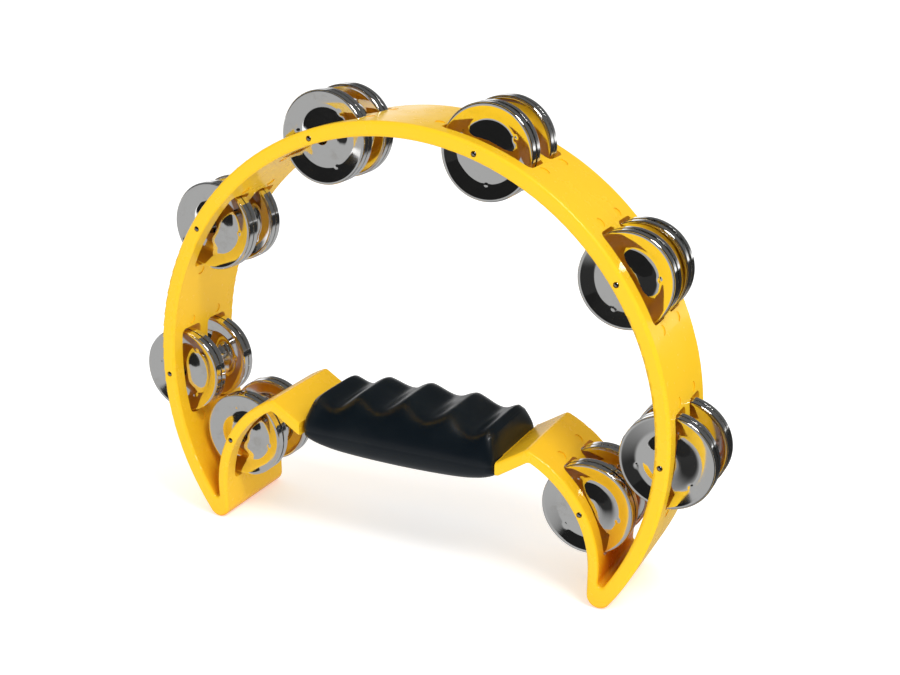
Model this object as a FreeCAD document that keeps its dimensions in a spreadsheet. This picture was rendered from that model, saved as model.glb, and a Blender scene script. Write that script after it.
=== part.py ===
import FreeCAD, Part
import math
import os
import Sketcher
from FreeCAD import Placement, Rotation, Vector

# A half-moon tambourine: a yellow moulded frame, a black rubber grip on its handle bar,
# eight steel pins and thirty-two steel jingles. Millimetres, +Z up, the pin heads face -Y.
# The row's origin is under the middle of the frame, level with its two tips.
# Bodies are drawn about the centre of the hoop and lifted by hoop_height.

SIZES = {
    # frame
    "frame_depth": 49.0,
    "hoop_radius": 125.0,
    "hoop_wall": 6.6,
    "tip_radius": 5.4,
    "tip_angle": 125.35,
    "hoop_height": 74.6,
    "arm_radius": 49.2,
    "arm_wall": 4.9,
    "arm_centre_drop": 58.0,
    "peak_reach": 63.4,
    "bar_top_drop": 16.7,
    "bar_wall": 6.1,
    "bar_reach": 49.4,
    "bar_step": 49.1,
    "bar_inset": 9.5,
    "corner_round": 2.4,
    "notch_round": 1.6,
    "rim_round": 1.5,
    "underside_shift": 0.8,
    # slots and pins
    "slot_length": 42.6,
    "slot_width": 14.0,
    "slot_round": 2.5,
    "rib_width": 6.0,
    "slot_cut_extra": 12.0,
    "slot_shift_angle": 0.47,
    "arm_slot_shift_angle": 1.8,
    "mark_radius": 2.2,
    "mark_depth": 0.4,
    "mark_gap": 3.4,
    "station_pitch": 36.84,
    "side_stations": 3,
    "pin_circle": 121.2,
    "arm_pin_angle": 60.4,
    "arm_pin_radius": 51.7,
    "pin_radius": 1.25,
    "pin_dome": 0.35,
    "pin_sink": 0.05,
    "pin_hole_radius": 1.27,
    # jingles
    "jingle_radius": 20.5,
    "jingle_hole": 2.9,
    "jingle_hub": 5.9,
    "jingle_foot": 12.6,
    "hub_rise": 0.8,
    "dish_depth": 1.25,
    "jingle_sheet": 0.5,
    "jingle_flange": 3.4,
    "jingle_bend": 0.9,
    "jingle_hang": 1.5,
    "nub_circle": 13.9,
    "nub_radius": 0.75,
    "nub_height": 0.4,
    "nub_root": 0.1,
    "nub_count": 3,
    # grip
    "grip_half_length": 49.0,
    "grip_top_reach": 45.6,
    "grip_widest_drop": 19.0,
    "grip_channel_depth": 30.0,
    # cuts that run right through overshoot by this much
    "through_margin": 4.0,
}

# Angles of the points the tip's and the arm's arcs pass through, from straight up about their centres.
TIP_BOTTOM_ANGLE = 190
ARM_MIDDLE_ANGLE = 55
# Where the edges to be rounded are, about the hoop's centre: peaks and kinks, then the two notches.
CORNER_ZONE_REACH, CORNER_ZONE_DROP = 70, 25
NOTCH_ZONE_REACH, NOTCH_ZONE_DROP = 93.5, 62
# Slots are cut from this far outside the wall.
SLOT_START = 4.0
CUT_MARGIN = 3.0
SMALL_GAP = 0.1
PARALLEL_ERROR = 0.001
PLACE_ERROR = 0.01
DISH_STEPS = 8
RIM_CURVE = 1.6

# Top of the grip, from the middle outwards: (distance from the middle, drop below the hoop's centre).
GRIP_CRESTS = [(0.0, 0.0), (11.5, 5.8), (22.7, 1.3), (34.4, 8.0), (43.0, 4.6)]
GRIP_TOP_CORNER_DROP = 6.4
# Underside of the grip, from the middle outwards.
GRIP_PALM = [(0.0, 33.5), (15.0, 32.9), (30.0, 31.3), (38.6, 29.3), (43.5, 27.5), (47.2, 25.4)]
GRIP_END_DROP = 23.6
# Where the rounded top corner of each end turns down, measured from that corner.
GRIP_CORNER_REACH, GRIP_CORNER_FALL = 2.0, 5.2
# Cross-section of the grip: (distance in from its front, drop), over the top and under the palm.
GRIP_SHOULDER = [(1.2, 15.0), (3.6, 10.0), (6.8, 5.6), (10.5, 2.2), (15.0, 0.2)]
GRIP_CROWN = -0.4
GRIP_HEEL = [(0.4, 23.0), (2.6, 27.0), (6.2, 30.2), (12.5, 32.8)]
GRIP_SOLE = 34.0

# Each station: name, side (+1 right, -1 left), steps from the top pair or None on an arm, and the
# outer faces of its two pairs of jingles, as distances back from the front of the frame.
STATIONS = [
    ("top_left", -1, 0, (11.2, 18.6), (30.0, 37.6)),
    ("top_right", 1, 0, (11.9, 20.3), (31.1, 38.5)),
    ("upper_left", -1, 1, (11.6, 19.0), (29.7, 37.1)),
    ("upper_right", 1, 1, (11.6, 20.1), (28.8, 38.4)),
    ("side_left", -1, 2, (9.6, 17.2), (32.2, 39.8)),
    ("side_right", 1, 2, (9.3, 16.9), (28.8, 36.3)),
    ("arm_left", -1, None, (10.4, 18.2), (32.2, 39.9)),
    ("arm_right", 1, None, (8.9, 16.8), (28.8, 36.3)),
]

doc = FreeCAD.newDocument("tambourine")
sheet = doc.addObject("Spreadsheet::Sheet", "Sizes")
for row, (alias, value) in enumerate(SIZES.items(), start=1):
    sheet.set(f"A{row}", alias)
    sheet.set(f"B{row}", str(value))
    sheet.setAlias(f"B{row}", alias)
doc.recompute()


def size(alias):
    return float(sheet.get(alias))


def bind(feature, prop, expression):
    feature.setExpression(prop, expression.replace("$", "Sizes."))


def new_body(label):
    body = doc.addObject("PartDesign::Body", label)
    body.Label = label
    bind(body, "Placement.Base.z", "$hoop_height")
    return body


def origin_feature(body, role):
    return next(f for f in body.Origin.OriginFeatures if f.Role == role)


def new_sketch(body, name, plane):
    sketch = body.newObject("Sketcher::SketchObject", name)
    sketch.AttachmentSupport = [(origin_feature(body, plane), "")]
    sketch.MapMode = "FlatFace"
    return sketch


def new_feature(body, kind, name, sketch, length):
    feature = body.newObject(f"PartDesign::{kind}", name)
    feature.Profile = sketch
    bind(feature, "Length", length)
    sketch.Visibility = False
    return feature


def draw_loop(sketch, pieces):
    """Add one closed run of curves and join each end to the next curve's start."""
    ids = [sketch.addGeometry(piece, False) for piece in pieces]
    for here, after in zip(ids, ids[1:] + ids[:1]):
        gaps = {}
        for end in (1, 2):
            for start in (1, 2):
                gaps[end, start] = (sketch.getPoint(here, end) - sketch.getPoint(after, start)).Length
        end, start = min(gaps, key=gaps.get)
        sketch.addConstraint(Sketcher.Constraint("Coincident", here, end, after, start))
    return ids


def size_arc(sketch, curve, name, expression):
    radius = sketch.Geometry[curve].Radius
    index = sketch.addConstraint(Sketcher.Constraint("Radius", curve, radius))
    sketch.renameConstraint(index, name)
    bind(sketch, f"Constraints.{name}", expression)


def polar(radius, degrees, centre=(0.0, 0.0)):
    """A point in the front view, at an angle from straight up, positive to the right."""
    turn = math.radians(degrees)
    return Vector(centre[0] + radius * math.sin(turn), centre[1] + radius * math.cos(turn), 0)


def mirrored(point):
    return Vector(-point.x, point.y, point.z)


def line(start, end):
    return Part.LineSegment(start, end)


def spline(points):
    curve = Part.BSplineCurve()
    curve.interpolate(points)
    return curve


def rectangle(sketch, half_width, low, high):
    corners = [(-half_width, low), (half_width, low), (half_width, high), (-half_width, high)]
    points = [Vector(x, y, 0) for x, y in corners]
    draw_loop(sketch, [line(a, b) for a, b in zip(points, points[1:] + points[:1])])


def circle_meet(near, near_radius, far, far_radius):
    """Where two circles cross, on the right-hand side."""
    gap = far - near
    along = (gap.Length**2 + near_radius**2 - far_radius**2) / (2 * gap.Length)
    across = math.sqrt(near_radius**2 - along**2)
    unit = gap.normalize()
    crossings = [near + unit * along + Vector(-unit.y, unit.x, 0) * side * across for side in (1, -1)]
    return max(crossings, key=lambda point: point.x)


def arm_centre():
    tip = polar(size("hoop_radius") - size("tip_radius"), size("tip_angle"))
    return Vector(tip.x - size("tip_radius") - size("arm_radius"), -size("arm_centre_drop"), 0)


def point_on_arm(radius, reach):
    centre = arm_centre()
    return Vector(reach, centre.y + math.sqrt(radius**2 - (reach - centre.x) ** 2), 0)


def outer_loop(sketch):
    """Hoop, right tip, arm, handle underside and back up to the left tip."""
    radius, tip_radius, tip_angle = size("hoop_radius"), size("tip_radius"), size("tip_angle")
    tip = polar(radius - tip_radius, tip_angle)
    arm = arm_centre()
    hoop_end = polar(radius, tip_angle)
    tip_low = polar(tip_radius, TIP_BOTTOM_ANGLE, (tip.x, tip.y))
    tip_side = Vector(tip.x - tip_radius, tip.y, 0)
    arm_low = Vector(tip_side.x, arm.y, 0)
    arm_mid = polar(size("arm_radius"), ARM_MIDDLE_ANGLE, (arm.x, arm.y))
    corner = point_on_arm(size("arm_radius"), size("peak_reach") + size("underside_shift"))
    bar_end_reach = size("bar_reach") + size("underside_shift")
    bar_end = Vector(bar_end_reach, -size("bar_top_drop") - size("bar_wall"), 0)
    right = [
        Part.Arc(hoop_end, tip_low, tip_side),
        line(tip_side, arm_low),
        Part.Arc(arm_low, arm_mid, corner),
        line(corner, bar_end),
    ]
    left = [
        line(mirrored(bar_end), mirrored(corner)),
        Part.Arc(mirrored(corner), mirrored(arm_mid), mirrored(arm_low)),
        line(mirrored(arm_low), mirrored(tip_side)),
        Part.Arc(mirrored(tip_side), mirrored(tip_low), mirrored(hoop_end)),
    ]
    hoop = Part.Arc(mirrored(hoop_end), Vector(0, radius, 0), hoop_end)
    ids = draw_loop(sketch, right + [line(bar_end, mirrored(bar_end))] + left + [hoop])
    size_arc(sketch, ids[0], "right_tip", "$tip_radius")
    size_arc(sketch, ids[2], "right_arm", "$arm_radius")
    size_arc(sketch, ids[-1], "hoop", "$hoop_radius")


def inner_loop(sketch):
    """Edge of the hand opening: hoop, notch, arm and the top of the handle bar."""
    radius = size("hoop_radius") - size("hoop_wall")
    arm_radius = size("arm_radius") + size("arm_wall")
    arm = arm_centre()
    notch = circle_meet(Vector(0, 0, 0), radius, arm, arm_radius)
    arm_mid = polar(arm_radius, ARM_MIDDLE_ANGLE, (arm.x, arm.y))
    peak = point_on_arm(arm_radius, size("peak_reach"))
    bar_end = Vector(size("bar_reach"), -size("bar_top_drop"), 0)
    right = [Part.Arc(notch, arm_mid, peak), line(peak, bar_end)]
    left = [
        line(mirrored(bar_end), mirrored(peak)),
        Part.Arc(mirrored(peak), mirrored(arm_mid), mirrored(notch)),
    ]
    hoop = Part.Arc(mirrored(notch), Vector(0, radius, 0), notch)
    ids = draw_loop(sketch, right + [line(bar_end, mirrored(bar_end))] + left + [hoop])
    size_arc(sketch, ids[0], "right_arm_top", "$arm_radius + $arm_wall")
    size_arc(sketch, ids[-1], "hoop_inside", "$hoop_radius - $hoop_wall")


def edges_where(shape, wanted):
    return [f"Edge{i}" for i, edge in enumerate(shape.Edges, start=1) if wanted(edge)]


def runs_front_to_back(edge):
    ends = [vertex.Point for vertex in edge.Vertexes]
    return len(ends) == 2 and (ends[0] - ends[1]).cross(Vector(0, 1, 0)).Length < PARALLEL_ERROR


def is_sharp_corner(edge):
    """Peaks, elbows and handle kinks: front-to-back edges well inside the two tips."""
    place = edge.CenterOfMass
    return runs_front_to_back(edge) and place.z > -CORNER_ZONE_DROP and abs(place.x) < CORNER_ZONE_REACH


def is_notch(edge):
    place = edge.CenterOfMass
    inside = math.hypot(place.x, place.z) < size("hoop_radius") - size("hoop_wall") + SMALL_GAP
    low = place.z < -NOTCH_ZONE_DROP and abs(place.x) > NOTCH_ZONE_REACH
    return runs_front_to_back(edge) and inside and low


def is_rim(edge):
    return abs(abs(edge.CenterOfMass.y) - size("frame_depth") / 2) < PLACE_ERROR


def add_fillet(body, name, base, wanted, radius):
    fillet = body.newObject("PartDesign::Fillet", name)
    fillet.Base = (base, edges_where(base.Shape, wanted))
    bind(fillet, "Radius", radius)
    body.Tip = fillet
    doc.recompute()
    return fillet


def cut_checked(body, feature):
    """Recompute a cut and make sure it took material away."""
    before = body.Shape.Volume
    body.Tip = feature
    doc.recompute()
    if not body.Shape.Volume < before - 1:
        raise RuntimeError(f"{feature.Name} cut nothing")
    return feature


def rounded_box(sketch, across, centre):
    """A rectangle with rounded corners: across is along the slot, centre its place in the depth."""
    length, width, corner = across / 2, size("slot_width") / 2, size("slot_round")
    low, high = centre - width, centre + width
    bend = corner * (1 - math.sqrt(0.5))
    sides = [(1, 1), (-1, 1), (-1, -1), (1, -1)]
    pieces = []
    for turn, (sx, sy) in enumerate(sides):
        edge_y = high if sy > 0 else low
        on_end = Vector(sx * length, edge_y - sy * corner, 0)
        on_side = Vector(sx * (length - corner), edge_y, 0)
        middle = Vector(sx * (length - bend), edge_y - sy * bend, 0)
        start, end = (on_end, on_side) if turn % 2 == 0 else (on_side, on_end)
        if pieces:
            pieces.append(line(pieces[-1].toShape().Vertexes[-1].Point, start))
        pieces.append(Part.Arc(start, middle, end))
    pieces.append(line(pieces[-1].toShape().Vertexes[-1].Point, pieces[0].toShape().Vertexes[0].Point))
    draw_loop(sketch, pieces)


def tangent_sketch(body, name, centre, angle, radius):
    """A sketch that touches a circle of the front view: its normal points away from the circle's centre."""
    sketch = new_sketch(body, name, "XY_Plane")
    start = polar(radius, angle, centre)
    sketch.AttachmentOffset = Placement(Vector(start.x, 0, start.y), Rotation(Vector(0, 1, 0), angle))
    return sketch


def slot_offset():
    return (size("rib_width") + size("slot_width")) / 2


def slot_cut(body, name, centre, angle, outside, depth):
    """Two slots side by side, cut straight in at an angle about a centre."""
    sketch = tangent_sketch(body, name + "_outline", centre, angle, size(outside) + SLOT_START)
    for side in (-1, 1):
        rounded_box(sketch, size("slot_length"), side * slot_offset())
    pocket = new_feature(body, "Pocket", name, sketch, depth)
    return cut_checked(body, pocket)


def round_marks(body, name, centre, angle, radius, outward):
    """Two shallow round marks beside each other in a curved face, one in line with each slot."""
    start = radius - SLOT_START if outward else radius + SLOT_START
    sketch = tangent_sketch(body, name + "_outline", centre, angle, start)
    for side in (-1, 1):
        mark = Part.Circle(Vector(0, side * slot_offset(), 0), Vector(0, 0, 1), size("mark_radius"))
        sketch.addGeometry(mark, False)
    pocket = new_feature(body, "Pocket", name, sketch, f"{SLOT_START} + $mark_depth")
    pocket.Reversed = outward
    return cut_checked(body, pocket)


def marks_beyond(body, name, centre, angle, outer, inner, ends):
    """Marks just past the slots' ends, on the outer and the inner face of a curved wall."""
    reach = size("slot_length") / 2 + size("mark_gap")
    marks = []
    for end in ends:
        for radius, outward in ((outer, False), (inner, True)):
            turn = angle + end * math.degrees(math.asin(reach / radius))
            label = f"{name}_{len(marks) + 1}"
            marks.append(round_marks(body, label, centre, turn, radius, outward))
    return marks


def make_frame():
    body = new_body("frame")
    outline = new_sketch(body, "frame_outline", "XZ_Plane")
    outer_loop(outline)
    inner_loop(outline)
    pad = new_feature(body, "Pad", "frame_pad", outline, "$frame_depth")
    pad.Midplane = True
    doc.recompute()
    corners = add_fillet(body, "corner_rounds", pad, is_sharp_corner, "$corner_round")
    notches = add_fillet(body, "notch_rounds", corners, is_notch, "$notch_round")
    add_fillet(body, "rim_rounds", notches, is_rim, "$rim_round")
    step_handle_bar(body)
    cut_slots(body)
    drill_pin_holes(body)
    return body


def step_handle_bar(body):
    """The bar is narrower inside the grip: the same step is cut into its front and its back."""
    sketch = new_sketch(body, "bar_step_outline", "XZ_Plane")
    sketch.AttachmentOffset = Placement(Vector(0, 0, size("frame_depth") / 2), Rotation())
    top = -size("bar_top_drop")
    rectangle(sketch, size("bar_step"), top - size("bar_wall") - CUT_MARGIN, top + CUT_MARGIN)
    step = cut_checked(body, new_feature(body, "Pocket", "bar_step_front", sketch, "$bar_inset"))
    mirror_features(body, "bar_step_back", [step], "XZ_Plane")


def mirror_features(body, name, originals, plane):
    copy = body.newObject("PartDesign::Mirrored", name)
    copy.Originals = originals
    copy.MirrorPlane = (origin_feature(body, plane), [""])
    cut_checked(body, copy)


def cut_slots(body):
    first = size("station_pitch") / 2 + size("slot_shift_angle")
    last = first + size("station_pitch") * (size("side_stations") - 1)
    cut_hoop_slots(body, "right", first)
    cut_hoop_slots(body, "left", -last)
    arm = arm_centre()
    centre, angle = (arm.x, arm.y), size("arm_pin_angle") + size("arm_slot_shift_angle")
    cuts = [slot_cut(body, "arm_slots", centre, angle, "arm_pin_radius", "$arm_wall + $slot_cut_extra")]
    top = size("arm_radius") + size("arm_wall")
    cuts += marks_beyond(body, "arm_marks", centre, angle, top, size("arm_radius"), (-1,))
    mirror_features(body, "arm_slots_left", cuts, "YZ_Plane")


def cut_hoop_slots(body, side, first):
    """Three stations of slots and marks: one is drawn and the pattern turns it about the hoop."""
    outer = size("hoop_radius")
    inner = outer - size("hoop_wall")
    cuts = [slot_cut(body, f"slots_{side}", (0, 0), first, "hoop_radius", "$hoop_wall + $slot_cut_extra")]
    cuts += marks_beyond(body, f"marks_{side}", (0, 0), first, outer, inner, (-1, 1))
    around = body.newObject("PartDesign::PolarPattern", f"slots_around_{side}")
    around.Originals = cuts
    around.Axis = (origin_feature(body, "Y_Axis"), [""])
    bind(around, "Angle", "2 * $station_pitch")
    bind(around, "Occurrences", "$side_stations")
    cut_checked(body, around)


def pin_place(side, steps):
    """Axis of a station's pin in the front view, about the hoop's centre."""
    if steps is None:
        arm = arm_centre()
        place = polar(size("arm_pin_radius"), size("arm_pin_angle"), (arm.x, arm.y))
    else:
        place = polar(size("pin_circle"), size("station_pitch") * (steps + 0.5))
    return Vector(side * place.x, place.y, 0)


def drill_pin_holes(body):
    sketch = new_sketch(body, "pin_hole_outline", "XZ_Plane")
    for name, side, steps, _, _ in STATIONS:
        hole = Part.Circle(pin_place(side, steps), Vector(0, 0, 1), size("pin_hole_radius"))
        size_arc(sketch, sketch.addGeometry(hole, False), f"hole_{name}", "$pin_hole_radius")
    pocket = new_feature(body, "Pocket", "pin_holes", sketch, "$frame_depth + $through_margin")
    pocket.Midplane = True
    cut_checked(body, pocket)


def revolve(body, sketch, name):
    feature = body.newObject("PartDesign::Revolution", name)
    feature.Profile = sketch
    feature.ReferenceAxis = (sketch, ["V_Axis"])
    feature.Angle = 360
    sketch.Visibility = False
    body.Tip = feature


def move_to_pin(body, side, steps, back, hang):
    """Put a body on a station's pin: back is its place along the pin, hang how far it drops."""
    pin = pin_place(side, steps)
    body.Placement.Base = Vector(pin.x, back - size("frame_depth") / 2, 0)
    bind(body, "Placement.Base.z", f"$hoop_height + {pin.y:.4f} - {hang}")


def make_pin(name, side, steps):
    """A plain steel pin with domed ends, just below the faces of the frame."""
    body = new_body(f"pin_{name}")
    sketch = new_sketch(body, f"pin_{name}_profile", "XY_Plane")
    radius, dome, half = size("pin_radius"), size("pin_dome"), size("frame_depth") / 2 - size("pin_sink")
    back_top, front_top = Vector(0, half, 0), Vector(0, -half, 0)
    back_edge, front_edge = Vector(radius, half - dome, 0), Vector(radius, dome - half, 0)
    ball = (radius**2 + dome**2) / (2 * dome)
    rise = dome - ball + math.sqrt(ball**2 - (radius / 2) ** 2)
    back_mid, front_mid = Vector(radius / 2, half - dome + rise, 0), Vector(radius / 2, dome - half - rise, 0)
    draw_loop(
        sketch,
        [
            Part.Arc(back_top, back_mid, back_edge),
            line(back_edge, front_edge),
            Part.Arc(front_edge, front_mid, front_top),
            line(front_top, back_top),
        ],
    )
    revolve(body, sketch, f"pin_{name}_turn")
    move_to_pin(body, side, steps, size("frame_depth") / 2, "0")
    return body


def dish_curve(shift):
    """From the flat hub, proud of the rim, the face falls to the dome's foot, then rises to the rim."""
    hub, foot, depth, rise = size("jingle_hub"), size("jingle_foot"), size("dish_depth"), size("hub_rise")
    rim = size("jingle_radius") - size("jingle_bend")
    points = []
    for step in range(DISH_STEPS):
        part = step / DISH_STEPS
        drop = (depth + rise) * (1 - math.cos(math.pi * part)) / 2 - rise
        points.append(Vector(hub + (foot - hub) * part, drop + shift, 0))
    for step in range(DISH_STEPS + 1):
        part = step / DISH_STEPS
        drop = depth * (1 - part**RIM_CURVE)
        points.append(Vector(foot + (rim - foot) * part, drop + shift, 0))
    return points


def jingle_profile(sketch):
    radius, sheet_metal, bend = size("jingle_radius"), size("jingle_sheet"), size("jingle_bend")
    hole, flange = size("jingle_hole"), size("jingle_flange")
    front, back = dish_curve(0), dish_curve(sheet_metal)
    turn = bend * (1 - math.sqrt(0.5))
    inner = bend - sheet_metal
    inner_turn = inner * (1 - math.sqrt(0.5))
    wall = radius - sheet_metal
    draw_loop(
        sketch,
        [
            line(Vector(hole, front[0].y, 0), front[0]),
            spline(front),
            Part.Arc(Vector(radius - bend, 0, 0), Vector(radius - turn, turn, 0), Vector(radius, bend, 0)),
            line(Vector(radius, bend, 0), Vector(radius, flange, 0)),
            line(Vector(radius, flange, 0), Vector(wall, flange, 0)),
            line(Vector(wall, flange, 0), Vector(wall, bend, 0)),
            Part.Arc(
                Vector(wall, bend, 0),
                Vector(wall - inner_turn, sheet_metal + inner_turn, 0),
                Vector(wall - inner, sheet_metal, 0),
            ),
            spline(back[::-1]),
            line(back[0], Vector(hole, back[0].y, 0)),
            line(Vector(hole, back[0].y, 0), Vector(hole, front[0].y, 0)),
        ],
    )


def add_nubs(body, label):
    """Three small bosses near the foot of the dome, rooted inside the sheet."""
    sketch = new_sketch(body, f"{label}_nub_outline", "XZ_Plane")
    bind(sketch, "AttachmentOffset.Base.z", "-($dish_depth + $nub_root)")
    nub = Part.Circle(Vector(0, size("nub_circle"), 0), Vector(0, 0, 1), size("nub_radius"))
    size_arc(sketch, sketch.addGeometry(nub, False), "nub", "$nub_radius")
    boss = new_feature(body, "Pad", f"{label}_nub", sketch, "$nub_height + $nub_root")
    body.Tip = boss
    around = body.newObject("PartDesign::PolarPattern", f"{label}_nubs")
    around.Originals = [boss]
    around.Axis = (origin_feature(body, "Y_Axis"), [""])
    around.Angle = 360
    bind(around, "Occurrences", "$nub_count")
    body.Tip = around


def make_jingle(label, side, steps, face, turned):
    """One pressed disc: its outer face is at face, and turned flips its rim towards the front."""
    body = new_body(label)
    sketch = new_sketch(body, f"{label}_profile", "XY_Plane")
    jingle_profile(sketch)
    revolve(body, sketch, f"{label}_turn")
    add_nubs(body, label)
    if turned:
        body.Placement.Rotation = Rotation(Vector(0, 0, 1), 180)
    move_to_pin(body, side, steps, face, "$jingle_hang")
    return body


def make_jingles(name, side, steps, pairs):
    jingles, number = [], 1
    for pair in pairs:
        for face, turned in zip(pair, (False, True)):
            jingles.append(make_jingle(f"jingle_{name}_{number}", side, steps, face, turned))
            number += 1
    return jingles


def grip_side_view(sketch):
    """Front view of the grip: four finger grooves on top, sloping ends and a bulging palm side."""
    right_top = [Vector(reach, -drop, 0) for reach, drop in GRIP_CRESTS]
    top_corner = Vector(size("grip_top_reach"), -GRIP_TOP_CORNER_DROP, 0)
    right_top.append(top_corner)
    top = [mirrored(point) for point in right_top[:0:-1]] + right_top
    widest = Vector(size("grip_half_length"), -size("grip_widest_drop"), 0)
    end = Vector(size("grip_half_length"), -GRIP_END_DROP, 0)
    shoulder = Vector(top_corner.x + GRIP_CORNER_REACH, top_corner.y - GRIP_CORNER_FALL, 0)
    palm = [Vector(reach, -drop, 0) for reach, drop in GRIP_PALM] + [end]
    under = palm[::-1] + [mirrored(point) for point in palm[1:]]
    draw_loop(
        sketch,
        [
            spline(top),
            Part.Arc(top_corner, shoulder, widest),
            line(widest, end),
            spline(under),
            line(mirrored(end), mirrored(widest)),
            Part.Arc(mirrored(widest), mirrored(shoulder), mirrored(top_corner)),
        ],
    )


def grip_section_loop(sketch):
    """Cross-section of the grip, drawn with the depth along the sketch's first axis."""
    half = size("frame_depth") / 2
    widest = Vector(-half, -size("grip_widest_drop"), 0)
    shoulder = [widest] + [Vector(inset - half, -drop, 0) for inset, drop in GRIP_SHOULDER]
    over = shoulder + [Vector(0, -GRIP_CROWN, 0)] + [mirrored(point) for point in shoulder[::-1]]
    heel = [widest] + [Vector(inset - half, -drop, 0) for inset, drop in GRIP_HEEL]
    below = heel + [Vector(0, -GRIP_SOLE, 0)] + [mirrored(point) for point in heel[::-1]]
    draw_loop(sketch, [spline(over), spline(below[::-1])])


def make_grip():
    body = new_body("grip")
    side = new_sketch(body, "grip_side_view", "XZ_Plane")
    grip_side_view(side)
    pad = new_feature(body, "Pad", "grip_pad", side, "$frame_depth")
    pad.Midplane = True
    doc.recompute()
    section = new_sketch(body, "grip_section", "YZ_Plane")
    grip_section_loop(section)
    rectangle(section, size("frame_depth") / 2 + CUT_MARGIN, -GRIP_SOLE - CUT_MARGIN, CUT_MARGIN - GRIP_CROWN)
    shave = new_feature(body, "Pocket", "grip_rounding", section, "2 * $grip_half_length + $through_margin")
    shave.Midplane = True
    cut_checked(body, shave)
    channel = new_sketch(body, "bar_channel_outline", "YZ_Plane")
    top = -size("bar_top_drop")
    rectangle(channel, size("grip_channel_depth") / 2, top - size("bar_wall"), top)
    bore = new_feature(body, "Pocket", "bar_channel", channel, "2 * $grip_half_length + $through_margin")
    bore.Midplane = True
    cut_checked(body, bore)
    return body


def check_and_export(bodies):
    os.makedirs("parts", exist_ok=True)
    for body in bodies:
        for feature in [body] + body.Group:
            if "Invalid" in feature.State or "Error" in feature.State:
                raise RuntimeError(f"{feature.Name} did not recompute: {feature.State}")
        shape = body.Shape
        if shape.isNull() or not shape.isValid() or len(shape.Solids) != 1:
            raise RuntimeError(f"{body.Label} is not one valid solid")
        shape.exportStep(f"parts/{body.Label}.step")


bodies = [make_frame(), make_grip()]
for name, side, steps, front_pair, rear_pair in STATIONS:
    bodies.append(make_pin(name, side, steps))
    bodies += make_jingles(name, side, steps, (front_pair, rear_pair))
doc.recompute()
check_and_export(bodies)
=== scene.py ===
import math

import bpy
import numpy as np
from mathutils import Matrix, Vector


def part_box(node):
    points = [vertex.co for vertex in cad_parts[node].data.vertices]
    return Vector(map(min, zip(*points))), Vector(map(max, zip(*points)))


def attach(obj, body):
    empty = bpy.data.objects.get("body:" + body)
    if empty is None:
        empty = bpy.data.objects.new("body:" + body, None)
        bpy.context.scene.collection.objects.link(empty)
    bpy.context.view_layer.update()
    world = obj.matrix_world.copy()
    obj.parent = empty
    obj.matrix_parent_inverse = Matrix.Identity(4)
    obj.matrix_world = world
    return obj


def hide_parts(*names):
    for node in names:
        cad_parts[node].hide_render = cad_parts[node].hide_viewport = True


# A half-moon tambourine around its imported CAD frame: glossy yellow plastic, pressed steel jingles on
# steel pins, and a moulded rubber grip. Metres, the row's own frame.

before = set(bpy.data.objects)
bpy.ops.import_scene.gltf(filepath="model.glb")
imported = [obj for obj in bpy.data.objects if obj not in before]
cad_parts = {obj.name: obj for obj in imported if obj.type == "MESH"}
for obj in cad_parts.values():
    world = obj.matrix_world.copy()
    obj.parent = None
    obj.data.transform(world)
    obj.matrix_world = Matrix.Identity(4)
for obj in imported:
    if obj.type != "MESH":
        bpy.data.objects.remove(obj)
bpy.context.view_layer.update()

MM = 0.001
TURN = 2 * math.pi
RANDOM_START = 7


# ---------------------------------------------------------------- materials
YELLOW, YELLOW_PALER, YELLOW_SCUFFED = (0.97, 0.575, 0.014), (1.0, 0.615, 0.020), (0.90, 0.58, 0.06)
# Painted shade: the plastic's colour is blended towards this deeper amber in slots and corners, where other
# surfaces are within this reach, standing in for light bounced between them.
PAINTED_SHADE_AMBER = (0.88, 0.31, 0.008)
PAINTED_SHADE_REACH = 0.045
PAINTED_SHADE_SAMPLES = 6
JINGLE_STEEL, PIN_STEEL, TARNISH = (0.93, 0.93, 0.92), (0.42, 0.415, 0.41), (0.62, 0.57, 0.50)
RUBBER, RUBBER_DUSTY = (0.0030, 0.0068, 0.0110), (0.0070, 0.0120, 0.0165)
PAPER, PAPER_PALER = (0.93, 0.93, 0.93), (0.96, 0.96, 0.96)
PAPER_GLOW = 0.36


def node_material(name):
    """A new material: returns (material, its node tree, its principled shader)."""
    material = bpy.data.materials.new(name)
    material.use_nodes = True
    return material, material.node_tree, material.node_tree.nodes["Principled BSDF"]


def link(tree, start, end):
    tree.links.new(start, end)


def position(tree, kind="Object"):
    return tree.nodes.new("ShaderNodeTexCoord").outputs[kind]


def noise(tree, where, scale, detail=3.0, roughness=0.55):
    texture = tree.nodes.new("ShaderNodeTexNoise")
    texture.inputs["Scale"].default_value = scale
    texture.inputs["Detail"].default_value = detail
    texture.inputs["Roughness"].default_value = roughness
    link(tree, where, texture.inputs["Vector"])
    return texture.outputs["Fac"]


def spread(tree, value, taken, given=(0.0, 1.0)):
    """Maps the range taken smoothly onto the range given, held at its ends."""
    mapped = tree.nodes.new("ShaderNodeMapRange")
    mapped.interpolation_type = "SMOOTHSTEP"
    for socket, number in zip(("From Min", "From Max", "To Min", "To Max"), (*taken, *given)):
        mapped.inputs[socket].default_value = number
    link(tree, value, mapped.inputs["Value"])
    return mapped.outputs["Result"]


def math_node(tree, operation, first, second):
    node = tree.nodes.new("ShaderNodeMath")
    node.operation = operation
    for socket, value in zip(node.inputs, (first, second)):
        if isinstance(value, (int, float)):
            socket.default_value = value
        else:
            link(tree, value, socket)
    return node.outputs[0]


def blend_colours(tree, factor, first, second):
    mix = tree.nodes.new("ShaderNodeMix")
    mix.data_type = "RGBA"
    link(tree, factor, mix.inputs[0])
    for socket, value in zip((mix.inputs[6], mix.inputs[7]), (first, second)):
        if isinstance(value, tuple):
            socket.default_value = (*value, 1.0)
        else:
            link(tree, value, socket)
    return mix.outputs[2]


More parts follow.
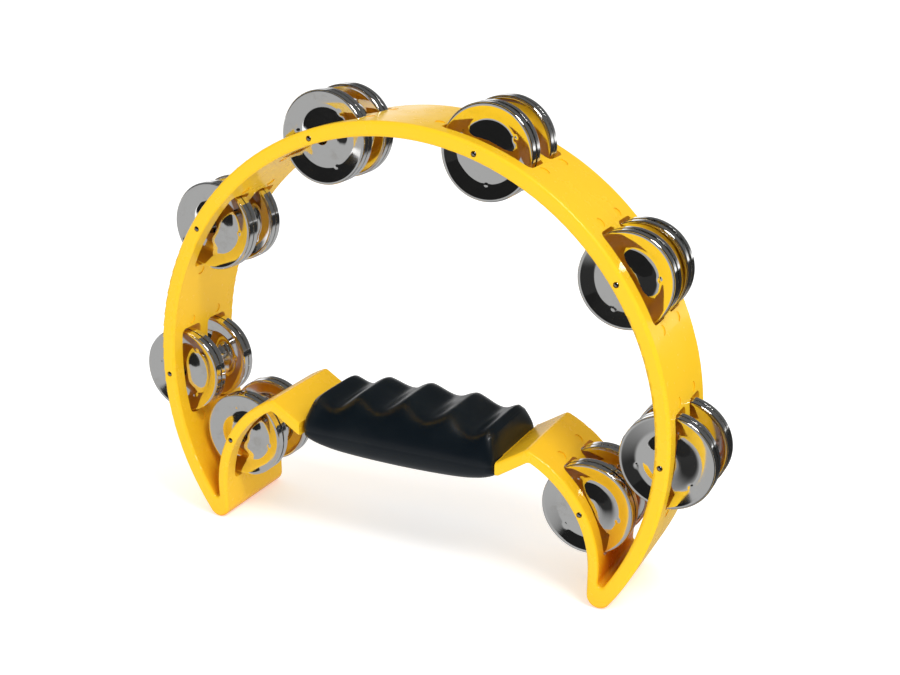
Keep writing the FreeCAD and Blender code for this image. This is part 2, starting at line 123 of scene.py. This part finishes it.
def add_bump(tree, shader, height, strength, distance):
    bump = tree.nodes.new("ShaderNodeBump")
    bump.inputs["Strength"].default_value = strength
    bump.inputs["Distance"].default_value = distance
    link(tree, height, bump.inputs["Height"])
    link(tree, bump.outputs["Normal"], shader.inputs["Normal"])


def glossy_switch(tree, plain, polished):
    """Soft surfaces are lit by the plain shader, and polished ones reflect the other."""
    mix = tree.nodes.new("ShaderNodeMixShader")
    link(tree, tree.nodes.new("ShaderNodeLightPath").outputs["Is Glossy Ray"], mix.inputs[0])
    link(tree, plain.outputs[0], mix.inputs[1])
    link(tree, polished.outputs[0], mix.inputs[2])
    return mix.outputs[0]


def frame_plastic():
    """Glossy yellow moulded plastic: flow marks, orange peel, fine scuffs, and painted amber shade in its
    nooks.
    """
    material, tree, shader = node_material("yellow_plastic")
    where = position(tree)
    flow = noise(tree, where, 22.0, 2.0)
    scuffs = spread(tree, noise(tree, where, 260.0, 6.0, 0.7), (0.60, 0.74))
    clean = blend_colours(tree, flow, YELLOW, YELLOW_PALER)
    worn = blend_colours(tree, math_node(tree, "MULTIPLY", scuffs, 0.15), clean, YELLOW_SCUFFED)
    # Painted shade: ambient occlusion turns the colour amber in slots, corners and beside the jingles,
    # standing in for bounced light.
    shade_occlusion = tree.nodes.new("ShaderNodeAmbientOcclusion")
    shade_occlusion.inputs["Distance"].default_value = PAINTED_SHADE_REACH
    shade_occlusion.samples = PAINTED_SHADE_SAMPLES
    painted_shade = spread(tree, shade_occlusion.outputs["AO"], (0.0, 0.55))
    link(tree, blend_colours(tree, painted_shade, PAINTED_SHADE_AMBER, worn), shader.inputs["Base Color"])
    gloss = spread(tree, noise(tree, where, 70.0, 4.0), (0.3, 0.7), (0.20, 0.29))
    rough = math_node(tree, "ADD", gloss, math_node(tree, "MULTIPLY", scuffs, 0.10))
    link(tree, rough, shader.inputs["Roughness"])
    shader.inputs["Specular IOR Level"].default_value = 0.32
    shader.inputs["Coat Weight"].default_value = 0.10
    shader.inputs["Coat Roughness"].default_value = 0.12
    add_bump(tree, shader, noise(tree, where, 520.0, 2.0), 0.05, 0.0004)
    return material


def plated_steel(name, colour):
    """Bright plated steel: tarnished spots, finger smudges, fine grain and the unevenness of pressing."""
    material, tree, shader = node_material(name)
    where = position(tree)
    shader.inputs["Metallic"].default_value = 1.0
    tarnish = spread(tree, noise(tree, where, 90.0, 5.0, 0.65), (0.52, 0.72), (0.0, 0.30))
    link(tree, blend_colours(tree, tarnish, colour, TARNISH), shader.inputs["Base Color"])
    smudges = spread(tree, noise(tree, where, 45.0, 3.0), (0.42, 0.68), (0.045, 0.13))
    link(tree, smudges, shader.inputs["Roughness"])
    dents = noise(tree, where, 55.0, 1.0)
    grain = math_node(tree, "MULTIPLY", noise(tree, where, 2200.0, 2.0), 0.012)
    add_bump(tree, shader, math_node(tree, "ADD", dents, grain), 0.13, 0.0012)
    return material


def grip_rubber():
    """Blue-black moulded rubber: satin, with a fine grain and paler dust where hands rub it."""
    material, tree, shader = node_material("black_rubber")
    where = position(tree)
    rub = spread(tree, noise(tree, where, 34.0, 5.0, 0.6), (0.45, 0.75))
    link(tree, blend_colours(tree, rub, RUBBER, RUBBER_DUSTY), shader.inputs["Base Color"])
    link(tree, spread(tree, rub, (0.0, 1.0), (0.30, 0.40)), shader.inputs["Roughness"])
    shader.inputs["Specular IOR Level"].default_value = 0.36
    grain = math_node(tree, "MULTIPLY", noise(tree, where, 1500.0, 3.0), 0.5)
    waves = noise(tree, where, 160.0, 2.0)
    add_bump(tree, shader, math_node(tree, "ADD", grain, waves), 0.10, 0.0004)
    return material


def floor_material():
    """Pale paper that glows a little. Polished pieces see it grey, dark on the right, white far off behind."""
    material, tree, shader = node_material("pale_floor")
    tone = noise(tree, position(tree), 1.5, 2.0)
    link(tree, blend_colours(tree, tone, PAPER, PAPER_PALER), shader.inputs["Base Color"])
    shader.inputs["Roughness"].default_value = 0.9
    shader.inputs["Specular IOR Level"].default_value = 0.1
    shader.inputs["Emission Color"].default_value = (1.0, 1.0, 1.0, 1.0)
    shader.inputs["Emission Strength"].default_value = PAPER_GLOW
    reflected = tree.nodes.new("ShaderNodeEmission")
    place = tree.nodes.new("ShaderNodeSeparateXYZ")
    link(tree, position(tree), place.inputs[0])
    front = spread(tree, place.outputs["X"], (0.08, 0.17), (0.40, 0.025))
    left_behind = math_node(tree, "SUBTRACT", place.outputs["Y"], place.outputs["X"])
    back = spread(tree, left_behind, (0.75, 1.15), (0.0, 1.1))
    link(tree, math_node(tree, "MAXIMUM", front, back), reflected.inputs["Color"])
    link(tree, glossy_switch(tree, shader, reflected), tree.nodes["Material Output"].inputs["Surface"])
    return material


def paint(piece, material):
    piece.data.materials.clear()
    piece.data.materials.append(material)


def smooth_piece(name, points, faces, material):
    """A smooth-shaded mesh object from points in metres."""
    mesh = bpy.data.meshes.new(name)
    mesh.from_pydata(points.tolist(), [], faces)
    mesh.update()
    mesh.polygons.foreach_set("use_smooth", [True] * len(mesh.polygons))
    piece = bpy.data.objects.new(name, mesh)
    bpy.context.scene.collection.objects.link(piece)
    paint(piece, material)
    return piece


# ---------------------------------------------------------------- the grip
# Side view, from the middle outwards: (distance from the middle, height) in mm about the hoop's centre.
RIDGES = [(0.0, 0.0), (11.5, -5.8), (22.7, -1.3), (34.4, -8.0), (42.6, -4.6), (45.6, -6.6)]
GRIP_END = [(45.6, -6.6), (47.4, -11.4), (48.6, -15.4), (49.0, -19.0), (49.0, -23.4)]
PALM = [
    (0.0, -33.5), (15.0, -32.9), (30.0, -31.3), (38.6, -29.3), (43.5, -27.5), (47.2, -25.4), (49.0, -23.4),
]
# Cross-section from its crown to its sole: (distance from the middle of the depth, height).
SECTION = [
    (0.0, 4.4), (9.5, 3.4), (15.0, 0.2), (19.2, -4.8), (22.0, -10.0), (23.9, -15.0), (24.7, -19.0),
    (24.3, -23.0), (22.4, -27.4), (18.9, -31.4), (12.0, -35.4), (0.0, -37.4),
]
# The skin is found along rays from a core line of this half length, at this height.
GRIP_CORE = 30.0
GRIP_MIDDLE = -17.5
RAY_REACH = 45.0
RAY_HALVINGS = 26
GRIP_RING = 300
GRIP_STATIONS = 150
GRIP_FAN = 70
GRIP_EDGE_ROUND = 2.6
GROOVE_FULLNESS = 0.82
SEAM_DEPTH = 0.22
SEAM_HEIGHT = -20.0
SEAM_WIDTH = 0.55
# The grid of distances: (lowest, highest) along, deep and up, and its step.
GRID_ALONG, GRID_DEEP, GRID_UP = (-56.0, 56.1), (-30.0, 30.1), (-42.0, 8.0)
GRID_STEP = 0.25
TINY = 1e-12


def eased(points, count=14):
    """Joins crests and groove floors with half waves, made fuller so that the floors are broad and round."""
    line = []
    for (x0, z0), (x1, z1) in zip(points, points[1:]):
        for step in range(count):
            part = step / count
            from_crest = part if z1 < z0 else 1 - part
            fall = ((1 - math.cos(math.pi * from_crest)) / 2) ** GROOVE_FULLNESS
            line.append((x0 + (x1 - x0) * part, max(z0, z1) - abs(z1 - z0) * fall))
    return line + [points[-1]]


def curve_value(p, q, r, s, t):
    """Catmull-Rom between q and r."""
    square = (2 * p - 5 * q + 4 * r - s) * t**2
    cube = (3 * q - p - 3 * r + s) * t**3
    return 0.5 * (2 * q + (r - p) * t + square + cube)


def smooth_run(points, count=10):
    """A Catmull-Rom curve through the points."""
    ends = [points[0]] + points + [points[-1]]
    line = []
    for a, b, c, d in zip(ends, ends[1:], ends[2:], ends[3:]):
        for step in range(count):
            t = step / count
            line.append(tuple(curve_value(*values, t) for values in zip(a, b, c, d)))
    return line + [points[-1]]


def closed_outline(half):
    """The right half, from top to bottom, and its mirror image."""
    right = np.array(half)
    left = right[::-1] * (-1, 1)
    return np.vstack([right, left[1:-1]])


def signed_distance(outline, across, height):
    """Distance from each point of a grid to an outline, negative inside it."""
    points = np.stack(np.meshgrid(across, height, indexing="ij"), -1).reshape(-1, 1, 2)
    start, end = outline[None], np.roll(outline, -1, 0)[None]
    run = end - start
    share = np.clip(((points - start) * run).sum(-1) / np.maximum((run**2).sum(-1), TINY), 0, 1)
    near = np.linalg.norm(points - start - share[..., None] * run, axis=-1).min(1)
    above = (start[..., 1] > points[..., 1]) != (end[..., 1] > points[..., 1])
    rise = np.where(run[..., 1] == 0, TINY, run[..., 1])
    crossing = start[..., 0] + (points[..., 1] - start[..., 1]) * run[..., 0] / rise
    inside = (above & (points[..., 0] < crossing)).sum(1) % 2 == 1
    return np.where(inside, -near, near).reshape(len(across), len(height))


def sample(grid, low, points):
    """Reads a grid of distances between its points, and holds its edge values outside it."""
    last_cell = np.array(grid.shape) - 1.001
    place = np.clip((points - low) / GRID_STEP, 0, last_cell)
    cell = place.astype(int)
    part = place - cell
    i, j = cell[:, 0], cell[:, 1]
    u, v = part[:, 0], part[:, 1]
    near = grid[i, j] * (1 - u) + grid[i + 1, j] * u
    far = grid[i, j + 1] * (1 - u) + grid[i + 1, j + 1] * u
    return near * (1 - v) + far * v


def grip_shape():
    """A function of points in mm that is negative inside the grip."""
    side_half = eased(RIDGES) + smooth_run(GRIP_END)[1:] + smooth_run(PALM)[::-1][1:]
    side, section = closed_outline(side_half), closed_outline(smooth_run(SECTION))
    along, deep, height = (np.arange(*ends, GRID_STEP) for ends in (GRID_ALONG, GRID_DEEP, GRID_UP))
    side_grid = signed_distance(side, along, height)
    section_grid = signed_distance(section, deep, height)

    def value(points):
        a = sample(side_grid, (along[0], height[0]), points[:, [0, 2]])
        b = sample(section_grid, (deep[0], height[0]), points[:, [1, 2]])
        seam = SEAM_DEPTH * np.exp(-(((points[:, 2] - SEAM_HEIGHT) / SEAM_WIDTH) ** 2))
        edge = GRIP_EDGE_ROUND
        return edge * np.logaddexp(a / edge, (b + seam) / edge)

    return value


def grip_rays():
    """Where the vertices' rays start and the way they go: rings along a core, a fan and a tip at each end."""
    around = np.linspace(0, TURN, GRIP_RING, endpoint=False)
    stations = [(x, 0.0) for x in np.linspace(-GRIP_CORE, GRIP_CORE, GRIP_STATIONS)]
    fans = [(GRIP_CORE, lean) for lean in np.linspace(0, TURN / 4, GRIP_FAN)[1:-1]]
    rows = [(-x, -lean) for x, lean in fans[::-1]] + stations + fans
    starts, ways = [], []
    for x, lean in rows:
        starts.append(np.tile([x, 0.0, GRIP_MIDDLE], (GRIP_RING, 1)))
        out = math.cos(lean)
        along = np.full(GRIP_RING, math.sin(lean))
        ways.append(np.column_stack([along, out * np.cos(around), out * np.sin(around)]))
    for end in (-1, 1):
        starts.append([(end * GRIP_CORE, 0.0, GRIP_MIDDLE)])
        ways.append([(end, 0.0, 0.0)])
    return np.vstack(starts), np.vstack(ways), len(rows)


def grip_skin(starts, ways):
    """The point of each ray at the grip's surface, in mm, found by halving."""
    shape = grip_shape()
    near, far = np.zeros(len(starts)), np.full(len(starts), RAY_REACH)
    for _ in range(RAY_HALVINGS):
        middle = (near + far) / 2
        outside = shape(starts + ways * middle[:, None]) > 0
        far, near = np.where(outside, middle, far), np.where(outside, near, middle)
    return starts + ways * near[:, None]


def grip_faces(rows):
    """Squares between the rings, and triangles to the two tips."""
    faces = []
    last = (rows - 1) * GRIP_RING
    left_tip = rows * GRIP_RING
    for i in range(GRIP_RING):
        j = (i + 1) % GRIP_RING
        for a in range(0, last, GRIP_RING):
            b = a + GRIP_RING
            faces.append((a + i, a + j, b + j, b + i))
        faces.append((left_tip, j, i))
        faces.append((left_tip + 1, last + i, last + j))
    return faces


def make_grip(material):
    starts, ways, rows = grip_rays()
    points = grip_skin(starts, ways)
    _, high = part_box("grip")
    lift = high.z / MM - RIDGES[0][1]
    grip = smooth_piece("rubber_grip", (points + (0, 0, lift)) * MM, grip_faces(rows), material)
    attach(grip, "frame")
    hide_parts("grip")


# ---------------------------------------------------------------- turned pieces
# A jingle's pressed sheet, from hub to rim and back, in mm: (radius, depth behind the rim's plane, how far
# the corner is eased).
JINGLE = [
    (2.9, -0.3, 0.1), (2.9, -0.8, 0.15), (5.9, -0.8, 2.4), (12.0, 2.0, 1.5), (13.6, 2.0, 0.8),
    (19.7, 0.0, 0.6), (20.5, 0.4, 0.4), (20.5, 3.4, 0.1), (20.0, 3.4, 0.1), (20.0, 1.0, 0.6),
    (13.6, 2.5, 0.8), (12.0, 2.5, 1.5), (5.9, -0.3, 2.4),
]
HUB_RISE = 0.8
NUB_CIRCLE = 13.6
NUB_HEIGHT = 0.45
NUB_SPREAD = 0.62
NUB_COUNT = 3
DISC_RING = 120
# No disc is pressed quite true: its rim waves by up to this much, in each of these numbers of waves.
DENT = 0.05
DENT_WAVES = (2, 3, 5)
RUN_STEP = 0.35
CORNER_POINTS = 6
# Half of a pin, from the tip of its head: (radius, depth below the tip, how far a corner is eased) in mm.
PIN_HEAD = [(0.02, 0.0, 0.0), (0.62, 0.06, 0.45), (1.25, 0.75, 0.4), (1.25, 2.0, 0.0)]
PIN_PROUD = 0.45
PIN_RING = 32


def eased_corners(corners, closed):
    """A line through the corners, each rounded over its reach, with points no more than a step apart."""
    spots = [np.array(corner[:2]) for corner in corners]
    line = []
    for i, (_, _, reach) in enumerate(corners):
        here, before, after = spots[i], spots[i - 1], spots[(i + 1) % len(spots)]
        if reach == 0:
            line.append(here)
            continue
        start = here + (before - here) / np.linalg.norm(before - here) * reach
        end = here + (after - here) / np.linalg.norm(after - here) * reach
        for t in np.linspace(0, 1, CORNER_POINTS):
            line.append((1 - t)**2 * start + 2 * t * (1 - t) * here + t**2 * end)
    fine = []
    last = line[1:] + line[:1] if closed else line[1:]
    for a, b in zip(line, last):
        count = max(1, math.ceil(np.linalg.norm(b - a) / RUN_STEP))
        fine += [a + (b - a) * step / count for step in range(count)]
    return np.array(fine if closed else fine + [line[-1]])


def spin(name, material, radius, depth, centre, into=1, closed=True):
    """Spins a line about the y axis through centre: radius and depth in mm are tables of (points, ring)."""
    rows, ring = radius.shape
    angles = np.linspace(0, TURN, ring, endpoint=False)
    points = np.stack([radius * np.cos(angles), into * depth, radius * np.sin(angles)], -1)
    points = points.reshape(-1, 3)
    faces = []
    for row in range(rows if closed else rows - 1):
        a, b = row * ring, (row + 1) % rows * ring
        for i in range(ring):
            j = (i + 1) % ring
            faces.append((a + i, b + i, b + j, a + j)[::into])
    if not closed:
        faces.append(tuple(range(ring)))
        faces.append(tuple(range(rows * ring - 1, (rows - 1) * ring - 1, -1)))
    return smooth_piece(name, points * MM + centre, faces, material)


def uneven_depth(radius, depth, angles, chance):
    """Presses the nubs into a disc's face and warps it a little."""
    for nub in chance.uniform(0, TURN) + np.arange(NUB_COUNT) * TURN / NUB_COUNT:
        beside = radius * np.cos(angles) - NUB_CIRCLE * math.cos(nub)
        above = radius * np.sin(angles) - NUB_CIRCLE * math.sin(nub)
        depth = depth - NUB_HEIGHT * np.exp(-(beside**2 + above**2) / (2 * NUB_SPREAD**2))
    for waves in DENT_WAVES:
        size, turn = chance.uniform(0.4, 1.0) * DENT, chance.uniform(0, TURN)
        depth = depth + size * np.cos(waves * angles + turn) * (radius / radius.max())**2
    return depth


def make_jingle(node, material, chance):
    """A pressed disc: raised hub, domed ring, valley with three nubs, a dished brim and a turned-back rim."""
    low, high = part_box(node)
    faces_front = int(node[-1]) % 2 == 1
    into = 1 if faces_front else -1
    tip = low.y if faces_front else high.y
    centre = ((low.x + high.x) / 2, tip + into * HUB_RISE * MM, (low.z + high.z) / 2)
    line = eased_corners(JINGLE, closed=True)
    angles = np.linspace(0, TURN, DISC_RING, endpoint=False)
    radius, depth = (np.repeat(line[:, [column]], DISC_RING, 1) for column in (0, 1))
    depth = uneven_depth(radius, depth, angles, chance)
    piece = spin(f"{node}_disc", material, radius, depth, centre, into)
    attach(piece, node)
    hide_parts(node)


def make_pin(node, material):
    """A plain pin with a domed head at each end."""
    low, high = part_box(node)
    length = (high.y - low.y) / MM + 2 * PIN_PROUD
    half = eased_corners(PIN_HEAD, closed=False)
    line = np.vstack([half, half[::-1] * (1, -1) + (0, length)])
    centre = ((low.x + high.x) / 2, low.y - PIN_PROUD * MM, (low.z + high.z) / 2)
    radius, depth = (np.repeat(line[:, [column]], PIN_RING, 1) for column in (0, 1))
    piece = spin(f"{node}_turned", material, radius, depth, centre, closed=False)
    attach(piece, "frame")
    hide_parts(node)


# ---------------------------------------------------------------- studio
SOFT_LIGHT = 0.80
# The wall shows where a ray's way, times these, adds up to much: behind, to the left, and low.
PALE_WALL_WAY = (-0.6, 0.8, -2.2)
FLOOR_SIZE = 16.0
KEY_PLACE = (0.68, -0.38, 1.12)
KEY_TARGET = (0, 0, 0.08)
KEY_SIZE = 0.36
KEY_POWER = 6.5
CAMERA_PLACE = (0.2536, -0.4827, 0.2876)
CAMERA_DOWN = 19.043
CAMERA_TURN = 26.215
LENS = 51.65
FILM_WIDTH = 36.0


def make_floor():
    bpy.ops.mesh.primitive_plane_add(size=FLOOR_SIZE, location=(0, 0, 0))
    floor = bpy.context.object
    floor.name = "floor"
    paint(floor, floor_material())


def make_key_light():
    light = bpy.data.lights.new("key", "AREA")
    light.shape = "SQUARE"
    light.size = KEY_SIZE
    light.energy = KEY_POWER
    lamp = bpy.data.objects.new("key", light)
    bpy.context.scene.collection.objects.link(lamp)
    lamp.location = KEY_PLACE
    way = Vector(KEY_TARGET) - Vector(KEY_PLACE)
    lamp.rotation_mode = "QUATERNION"
    lamp.rotation_quaternion = way.to_track_quat("-Z", "Y")


def make_world():
    """Even pale light for soft surfaces. Polished ones see a dark room, with a low pale wall behind."""
    world = bpy.data.worlds.new("studio")
    bpy.context.scene.world = world
    world.use_nodes = True
    tree = world.node_tree
    tree.nodes.clear()
    output = tree.nodes.new("ShaderNodeOutputWorld")
    soft, room = tree.nodes.new("ShaderNodeBackground"), tree.nodes.new("ShaderNodeBackground")
    soft.inputs["Color"].default_value = (1.0, 1.0, 1.0, 1.0)
    soft.inputs["Strength"].default_value = SOFT_LIGHT
    facing = tree.nodes.new("ShaderNodeVectorMath")
    facing.operation = "DOT_PRODUCT"
    facing.inputs[1].default_value = PALE_WALL_WAY
    link(tree, position(tree, "Generated"), facing.inputs[0])
    wall = spread(tree, facing.outputs["Value"], (0.30, 0.70), (0.0, 1.1))
    way = tree.nodes.new("ShaderNodeSeparateXYZ")
    link(tree, position(tree, "Generated"), way.inputs[0])
    glow = spread(tree, way.outputs["Y"], (-0.1, 0.9), (0.012, 0.10))
    link(tree, math_node(tree, "MAXIMUM", wall, glow), room.inputs["Color"])
    link(tree, glossy_switch(tree, soft, room), output.inputs["Surface"])


def make_camera():
    camera = bpy.data.cameras.new("camera")
    camera.lens = LENS
    camera.sensor_width = FILM_WIDTH
    holder = bpy.data.objects.new("camera", camera)
    bpy.context.scene.collection.objects.link(holder)
    holder.location = CAMERA_PLACE
    holder.rotation_euler = (math.radians(90 - CAMERA_DOWN), 0.0, math.radians(CAMERA_TURN))
    bpy.context.scene.camera = holder


# ---------------------------------------------------------------- assembly
paint(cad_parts["frame"], frame_plastic())
steel = plated_steel("jingle_steel", JINGLE_STEEL)
pin_steel = plated_steel("pin_steel", PIN_STEEL)
chance = np.random.default_rng(RANDOM_START)
for name in sorted(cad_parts):
    if name.startswith("jingle"):
        make_jingle(name, steel, chance)
    elif name.startswith("pin"):
        make_pin(name, pin_steel)
make_grip(grip_rubber())
make_floor()
make_world()
make_key_light()
make_camera()
bpy.context.scene.view_settings.view_transform = "Standard"
